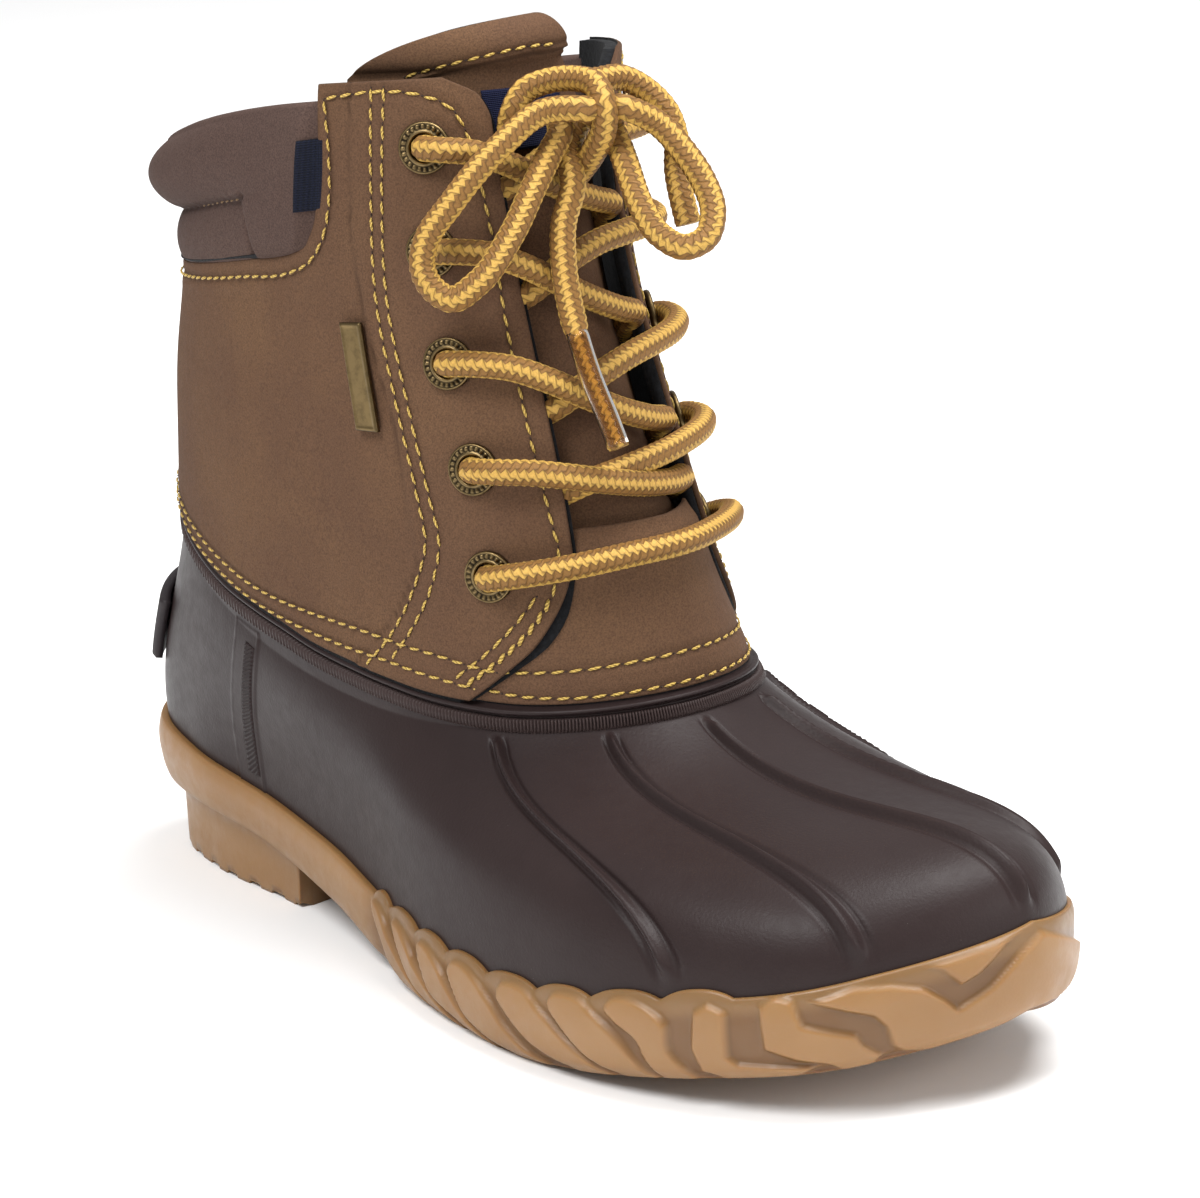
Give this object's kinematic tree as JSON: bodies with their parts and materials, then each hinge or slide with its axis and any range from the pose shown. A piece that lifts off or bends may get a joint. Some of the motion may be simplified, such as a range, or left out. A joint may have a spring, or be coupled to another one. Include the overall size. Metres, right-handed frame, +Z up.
{
  "type": "duck boot",
  "caption": "Right duck boot: brown rubber shell, gum sole, nubuck upper with padded collar, rope lace tied in a bow.",
  "frame": {"origin": "bottom centre of the boot's bounding box, at floor level", "axes": "+X from heel to toe, +Y to the wearer's left (the inner side of this right boot), +Z up"},
  "size_m": [0.2825, 0.1047, 0.2127],
  "materials": {
    "gum_rubber": "satin",
    "shell_rubber": "satin",
    "nubuck": "matte",
    "collar_nubuck": "matte",
    "insole_cloth": "matte",
    "webbing": "matte",
    "navy_ribbon": "matte",
    "badge_rubber": "matte",
    "antique_brass": "satin",
    "rope_lace": "matte"
  },
  "bodies": {
    "root": {"outsole": "gum_rubber", "insole": "insole_cloth", "shell": "shell_rubber", "upper": "nubuck", "collar": "collar_nubuck", "tongue": "nubuck", "backstay": "webbing", "heel_badge": "badge_rubber", "side_plate": "antique_brass", "side_tab": "navy_ribbon", "tongue_label": "navy_ribbon", "eyelet_outer_1": "antique_brass", "eyelet_outer_2": "antique_brass", "eyelet_outer_3": "antique_brass", "eyelet_outer_4": "antique_brass", "eyelet_outer_5": "antique_brass", "eyelet_inner_1": "antique_brass", "eyelet_inner_2": "antique_brass", "eyelet_inner_3": "antique_brass", "eyelet_inner_4": "antique_brass", "eyelet_inner_5": "antique_brass", "lace_bar": "rope_lace", "lace_crossing_1": "rope_lace", "lace_crossing_2": "rope_lace", "lace_crossing_3": "rope_lace", "lace_crossing_4": "rope_lace", "lace_knot": "rope_lace", "lace_loop_left": "rope_lace", "lace_loop_right": "rope_lace", "lace_end_front": "rope_lace", "lace_end_back": "rope_lace"}
  },
  "joints": []
}
